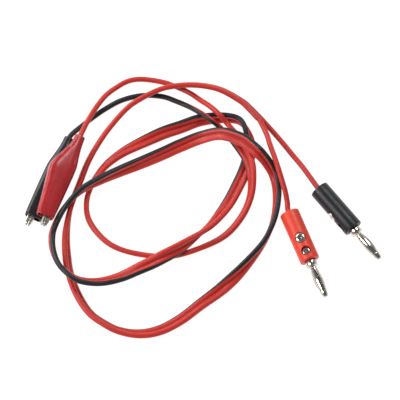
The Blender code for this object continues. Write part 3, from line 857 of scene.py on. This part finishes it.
def clip(colour, sleeve_look):
    """All the pieces of one clip."""
    part = colour + "_clip"
    steel = plated(part + "_plated_steel", (0.78, 0.75, 0.68), (0.58, 0.55, 0.49), 0.2, 0.36, PLACES[part])
    lever = colour + "_lever"
    rigid = (
        (base_jaw(part, steel), "_base_jaw", "steel", ROOT),
        (lever_jaw(part, steel), "_lever_jaw", "steel", lever),
        (pivot_pin(part, steel), "_pivot_pin", "steel", ROOT),
        (torsion_spring(part), "_torsion_spring", "spring_steel", ROOT),
        (copper_core(part, WIRE_END_X, CORE_END_X), "_copper_core", "copper", ROOT),
    )
    for item, node, slot, body in rigid:
        settle(item, part)
        dress(item, part + node, body)
    skin_piece = sleeve(part, sleeve_look)
    settle(skin_piece, part)
    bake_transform(skin_piece)
    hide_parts(part + "_sleeve")


clip("red", sleeve_vinyl(
    "red_sleeve_vinyl", PLACES["red_clip"],
    (0.50, 0.022, 0.026), (0.41, 0.017, 0.021), (0.66, 0.16, 0.16), 0.15,
))
clip("black", sleeve_vinyl(
    "black_sleeve_vinyl", PLACES["black_clip"],
    (0.016, 0.017, 0.020), (0.011, 0.012, 0.014), (0.07, 0.07, 0.08), 0.0,
))


# ---------------------------------------------------------------- plugs

def plug_body(part, made_of):
    """Plastic handle: rounded ends, bored for wire and insert, two screw holes on one side."""
    edge = 0.5
    arc = [(edge * (1 - math.sin(a)), BODY_RADIUS - edge * (1 - math.cos(a)))
           for a in (math.pi / 2 * k / 5 for k in range(5, -1, -1))]
    front = [(BODY_LENGTH - a, r) for a, r in reversed(arc)]
    profile = [(0.25, WIRE_BORE_RADIUS), (0.0, WIRE_BORE_RADIUS + 0.25)] + arc
    profile += [(BODY_LENGTH * k / 6, BODY_RADIUS) for k in range(1, 6)] + front
    profile += [
        (BODY_LENGTH, INSERT_BORE_RADIUS + 0.2), (BODY_LENGTH - 0.2, INSERT_BORE_RADIUS),
        (INSERT_START - 0.3, INSERT_BORE_RADIUS), (INSERT_START - 0.3, WIRE_BORE_RADIUS),
    ]
    item = turned(part + "_body_detail", profile, [made_of], "x", 96, closed=True)
    holes = []
    for x, radius in ((CLAMP_SCREW_X, CLAMP_SCREW_BORE), (RETAINING_SCREW_X, RETAINING_SCREW_BORE)):
        rim = ((1.5, radius), (4.55, radius), (4.85, radius + 0.22), (6.5, radius + 0.22))
        hole = turned("screw_hole", rim, [], "z", 56)
        hole.location.x = x * MM
        holes.append(hole)
    cut(item, holes, 32.0)
    return item


def plug_insert(part, made_of):
    """Plated core: bored end for the wire, collar, and the pin's rod with its rounded tip."""
    tip = [(TIP_START + 3.5 * math.sin(a), 1.76 * math.cos(a) ** 0.6 + 0.02)
           for a in (math.pi / 2 * k / 9 for k in range(10))]
    profile = [
        (17.5, 0.05), (17.5, 1.0), (INSERT_START, 1.0), (INSERT_START, INSERT_RADIUS), (27.3, INSERT_RADIUS),
        (27.3, COLLAR_RADIUS - 0.2), (27.4, COLLAR_RADIUS - 0.06), (27.6, COLLAR_RADIUS),
        (COLLAR_END - 0.5, COLLAR_RADIUS), (COLLAR_END - 0.25, COLLAR_RADIUS - 0.08),
        (COLLAR_END - 0.08, COLLAR_RADIUS - 0.28), (COLLAR_END, COLLAR_RADIUS - 0.6),
        (COLLAR_END, 1.1), (TIP_START, 1.1), (TIP_START, 1.62),
    ] + tip
    item = turned(part + "_insert_detail", profile, [made_of], "x", 72)
    holes = []
    for x, radius, low in ((CLAMP_SCREW_X, 1.3, -0.2), (RETAINING_SCREW_X, 1.15, 0.4)):
        hole = turned("thread_hole", ((low, radius), (3.5, radius)), [], "z", 32)
        hole.location.x = x * MM
        holes.append(hole)
    cut(item, holes, 32.0)
    return item


BASKET = (
    (31.0, 1.66), (31.4, 1.72), (32.2, 1.8), (33.3, 1.96), (34.5, 2.12), (35.8, 2.26), (37.0, 2.33),
    (38.3, 2.35), (39.5, 2.3), (40.8, 2.19), (42.0, 2.05), (43.0, 1.92), (43.5, 1.86),
)


def spring_basket(part, made_of):
    """Four bowed leaves between end rings, parted by slots that narrow towards their ends."""
    inner = [(x, radius - 0.32) for x, radius in reversed(BASKET)]
    item = turned(part + "_spring_basket_detail", BASKET + tuple(inner), [made_of], "x", 72, closed=True)
    middle, reach = 37.2, 4.9
    outline = []
    for side in (1, -1):
        for k in range(13):
            share = -1 + 2 * k / 12
            half = 0.11 + 0.24 * math.cos(share * math.pi / 2)
            outline.append((middle + side * share * reach, side * half))
    slots = [prism("slot_a", outline, -3.0, 3.0, "xz"), prism("slot_b", outline, -3.0, 3.0, "xy")]
    cut(item, slots, 32.0)
    return item


def cross_cutter(reach, top, depth):
    """Cross-head recess: two wings that narrow towards the bottom."""
    wing = 0.29
    outline = [
        (reach, -wing), (reach, wing), (wing, wing), (wing, reach), (-wing, reach), (-wing, wing),
        (-reach, wing), (-reach, -wing), (-wing, -wing), (-wing, -reach), (wing, -reach), (wing, -wing),
    ]
    return prism("cross", outline, top - depth, top + 0.6, "xy", 0.42)


def screw(name, made_of, sizes, turn):
    """Cross-head screw with a domed head and a ribbed shank, standing along z."""
    head_radius, head, shank_radius, shank_end, seat = sizes
    top = seat + head
    profile = [(shank_end, shank_radius - 0.35), (shank_end + 0.25, shank_radius - 0.1)]
    ribs = int((seat - shank_end - 0.5) / 0.5)
    for k in range(ribs):
        z = shank_end + 0.3 + 0.5 * k
        profile += [(z, shank_radius - 0.12), (z + 0.25, shank_radius)]
    profile += [(seat - 0.1, shank_radius - 0.1), (seat, shank_radius), (seat, head_radius - 0.08)]
    profile += [(seat + 0.08, head_radius), (top - 0.62, head_radius)]
    dome = [(top - 0.62 + 0.62 * math.sin(a), head_radius - 1.15 * (1 - math.cos(a)))
            for a in (math.pi / 2 * k / 6 for k in range(1, 7))]
    item = turned(name, profile + dome, [made_of], "z", 48)
    cross = cross_cutter(head_radius * 0.66, top, min(0.9, head * 0.6))
    cross.rotation_euler = (0.0, 0.0, math.radians(turn))
    cut(item, [cross], 32.0)
    return item


def plug(colour, body_look):
    """All the pieces of one plug."""
    part = colour + "_plug"
    nickel = plated(part + "_nickel", (0.72, 0.69, 0.62), (0.60, 0.57, 0.50), 0.08, 0.16, PLACES[part])
    screw_look = plated(part + "_screw_nickel", (0.84, 0.81, 0.77), (0.66, 0.63, 0.58), 0.12, 0.26)
    fixed = (
        (plug_body(part, body_look), "_body", colour + "_plastic", 0.0),
        (plug_insert(part, nickel), "_insert", "nickel", 0.0),
        (spring_basket(part, nickel), "_spring_basket", "nickel", LEAF_TURN[part]),
        (copper_core(part, PLUG_WIRE_END - 0.2, PLUG_CORE_END), "_copper_core", "copper", 0.0),
    )
    for item, node, slot, turn in fixed:
        settle(item, part, 0.0, turn)
        dress(item, part + node)
    clamp = screw(part + "_clamp_screw_detail", screw_look, CLAMP_SCREW, CLAMP_SCREW_TURN)
    settle(clamp, part, CLAMP_SCREW_X)
    dress(clamp, part + "_clamp_screw", colour + "_clamp")
    retaining = screw(
        part + "_retaining_screw_detail", screw_look, RETAINING_SCREW, RETAINING_SCREW_TURN,
    )
    settle(retaining, part, RETAINING_SCREW_X)
    dress(retaining, part + "_retaining_screw", colour + "_retainer")


plug("red", moulded(
    "red_plug_plastic", PLACES["red_plug"], (0.92, 0.075, 0.034), (0.84, 0.058, 0.026), 0.36, 0.44,
))
plug("black", moulded(
    "black_plug_plastic", PLACES["black_plug"], (0.010, 0.011, 0.014), (0.007, 0.008, 0.011), 0.36, 0.44,
))


# ---------------------------------------------------------------- studio

def floor():
    """Plain white table."""
    made, _, _, shader = new_material("floor_white")
    shader.inputs["Base Color"].default_value = (0.25, 0.25, 0.25, 1.0)
    shader.inputs["Roughness"].default_value = 0.9
    shader.inputs["Specular IOR Level"].default_value = 0.1
    shader.inputs["Emission Color"].default_value = (1.0, 1.0, 1.0, 1.0)
    shader.inputs["Emission Strength"].default_value = 0.93
    work = bmesh.new()
    bmesh.ops.create_grid(work, x_segments=2, y_segments=2, size=6.0)
    item = finished("floor", work, [made])
    item.location.z = -0.0003


def soft_box(name, direction, size, watts):
    """A rectangular studio light that faces the object."""
    data = bpy.data.lights.new(name, "AREA")
    data.shape = "RECTANGLE"
    data.size, data.size_y = size
    data.energy = watts
    item = bpy.data.objects.new(name, data)
    bpy.context.scene.collection.objects.link(item)
    aim = Vector(direction).normalized()
    item.location = aim * LIGHT_DISTANCE
    item.rotation_euler = aim.to_track_quat("Z", "Y").to_euler()


# strength of the room's light from low down and from overhead
ROOM_LIGHT = (0.62, 0.14)
# sines of the elevations between which it changes
ROOM_EDGES = (0.30, 0.62)
LIGHT_DISTANCE = 0.7
# soft boxes: name, direction, size and watts
SOFT_BOXES = (
    ("left_box", (-0.68, -0.17, 0.71), (0.16, 0.34), 2.0),
    ("back_right_box", (0.34, 0.48, 0.80), (0.16, 0.26), 1.2),
    ("back_left_box", (-0.60, 0.60, 0.53), (0.44, 0.34), 2.2),
)


def studio():
    """Soft boxes, a room that is bright near the table and dim overhead, and plain colour handling."""
    for box in SOFT_BOXES:
        soft_box(*box)
    world = bpy.data.worlds.new("room")
    world.use_nodes = True
    nodes, link = world.node_tree.nodes, world.node_tree.links.new
    sky = nodes["Background"]
    split = nodes.new("ShaderNodeSeparateXYZ")
    link(nodes.new("ShaderNodeTexCoord").outputs["Generated"], split.inputs["Vector"])
    link(ranged(nodes, link, split.outputs["Z"], *ROOM_EDGES, *ROOM_LIGHT), sky.inputs["Strength"])
    sky.inputs["Color"].default_value = (0.96, 0.97, 1.0, 1.0)
    bpy.context.scene.world = world
    bpy.context.scene.view_settings.view_transform = "Standard"


floor()
studio()
